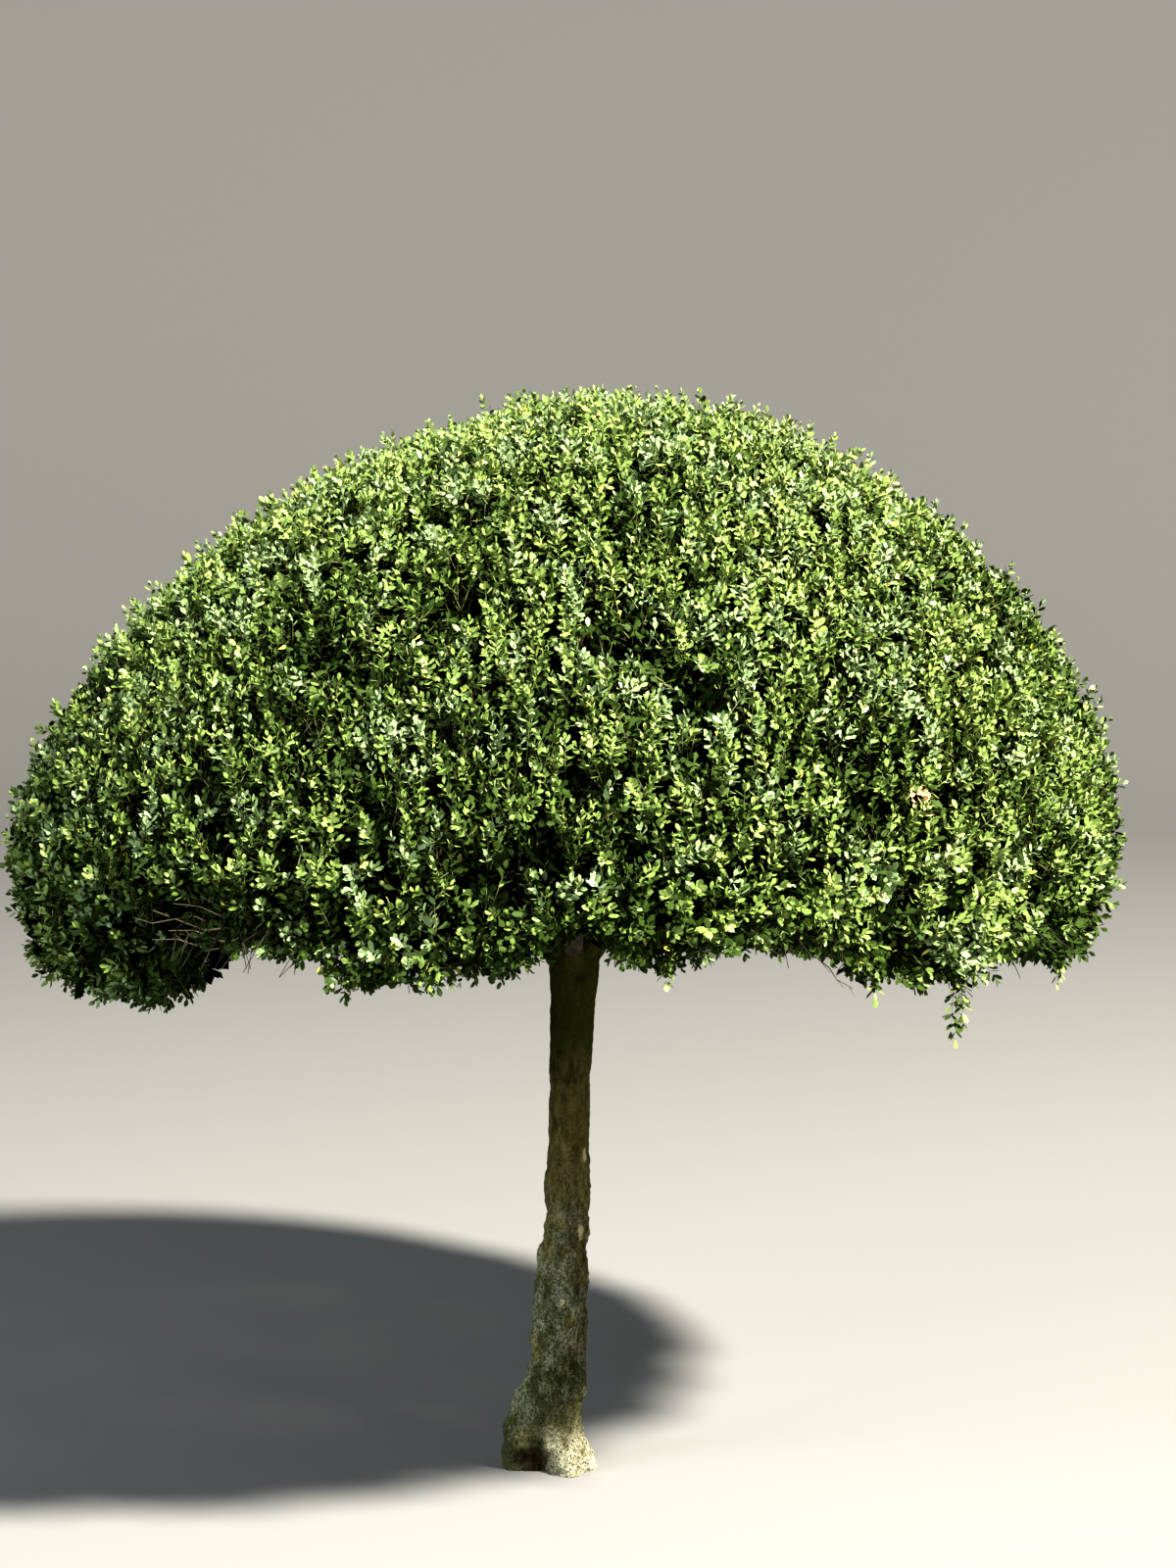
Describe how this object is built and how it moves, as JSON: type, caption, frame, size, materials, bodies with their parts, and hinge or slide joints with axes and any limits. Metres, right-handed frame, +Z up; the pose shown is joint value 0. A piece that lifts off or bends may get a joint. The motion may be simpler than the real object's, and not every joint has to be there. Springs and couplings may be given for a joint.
{
  "type": "umbrella-crowned standard topiary shrub",
  "caption": "Clipped evergreen standard: a clear, slightly leaning trunk that forks under a broad, hollow dome of small leaves.",
  "frame": {"origin": "middle of the flat cut under the trunk, at ground level", "axes": "+Z up along the trunk, -Y towards the viewer, +X to the viewer's right, the way the trunk leans"},
  "size_m": [1.6673, 1.6725, 1.6703],
  "materials": {
    "trunk_bark": "rough, finely fissured grey-brown bark with green algae and pale lichen near the foot",
    "bough_bark": "rough olive-brown bark",
    "foliage": "small oval leathery leaves, half gloss, mid green with yellow-green young tips"
  },
  "bodies": {
    "root": {"trunk": "trunk_bark", "bough_top": "bough_bark", "bough_front": "bough_bark", "bough_front_right": "bough_bark", "bough_back_right": "bough_bark", "bough_back": "bough_bark", "bough_back_left": "bough_bark", "bough_front_left": "bough_bark", "foliage_top": "foliage", "foliage_front": "foliage", "foliage_front_right": "foliage", "foliage_back_right": "foliage", "foliage_back": "foliage", "foliage_back_left": "foliage", "foliage_front_left": "foliage"}
  },
  "joints": []
}
